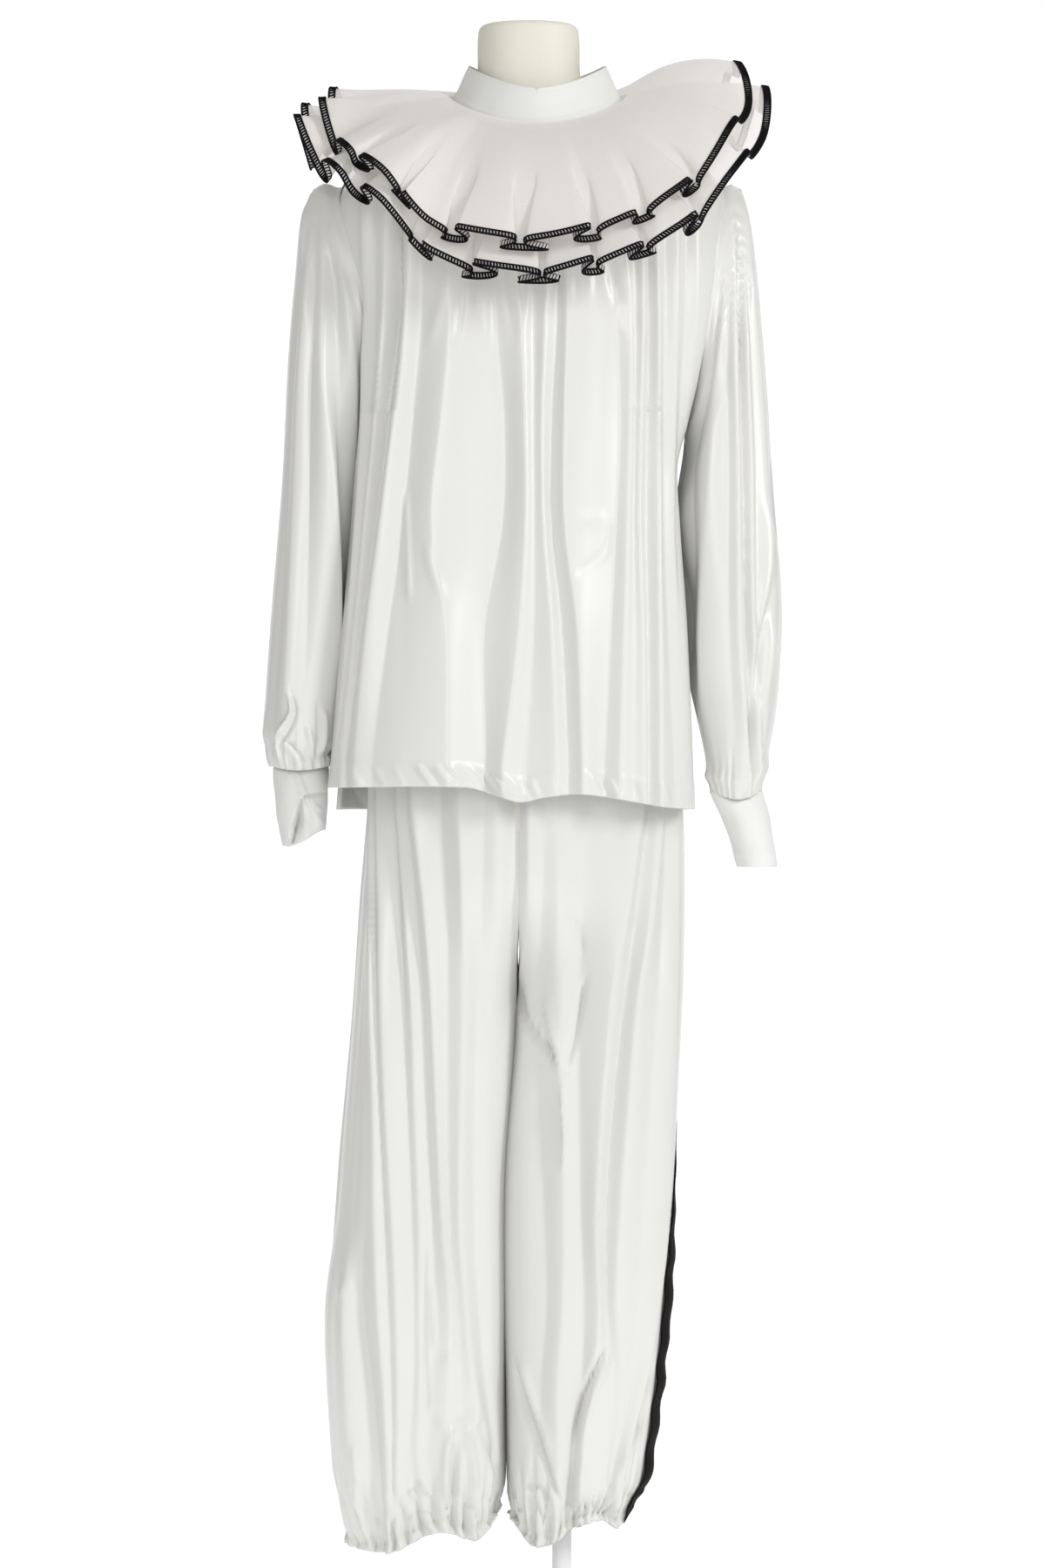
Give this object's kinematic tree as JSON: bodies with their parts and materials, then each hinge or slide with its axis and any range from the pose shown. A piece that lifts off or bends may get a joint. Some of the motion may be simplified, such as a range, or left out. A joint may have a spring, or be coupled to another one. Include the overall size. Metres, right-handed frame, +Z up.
{
  "type": "clown costume on a limbless dress form",
  "caption": "White satin clown costume with a sheer layered ruff and gathered trousers, worn by a limbless dress form that stands on a pole and a round base.",
  "frame": {"origin": "on the floor, at the middle of the base's underside", "axes": "+Z up, the costume faces -Y, +X towards the viewer's right"},
  "size_m": [0.5044, 0.4197, 1.584],
  "materials": {
    "white_satin": "glossy polyester satin",
    "plain_white_cloth": "plain matte woven cloth",
    "sheer_organza": "stiff sheer organza",
    "black_ribbon": "black satin ribbon",
    "black_thread": "black overlock thread",
    "cream_cover": "smooth cream stretch cover",
    "white_painted_steel": "white powder coat"
  },
  "bodies": {
    "root": {"tunic_front": "white_satin", "tunic_back_left": "white_satin", "tunic_back_right": "white_satin", "sleeve_left": "white_satin", "sleeve_right": "white_satin", "cuff_left": "plain_white_cloth", "cuff_right": "plain_white_cloth", "collar": "plain_white_cloth", "ruff_lower": "sheer_organza", "ruff_upper": "sheer_organza", "trouser_front_left": "white_satin", "trouser_back_left": "white_satin", "trouser_front_right": "white_satin", "trouser_back_right": "white_satin", "stripe_left": "black_ribbon", "stripe_right": "black_ribbon", "waistband": "white_satin", "form_torso": "cream_cover", "pole": "white_painted_steel", "base": "white_painted_steel"}
  },
  "joints": []
}
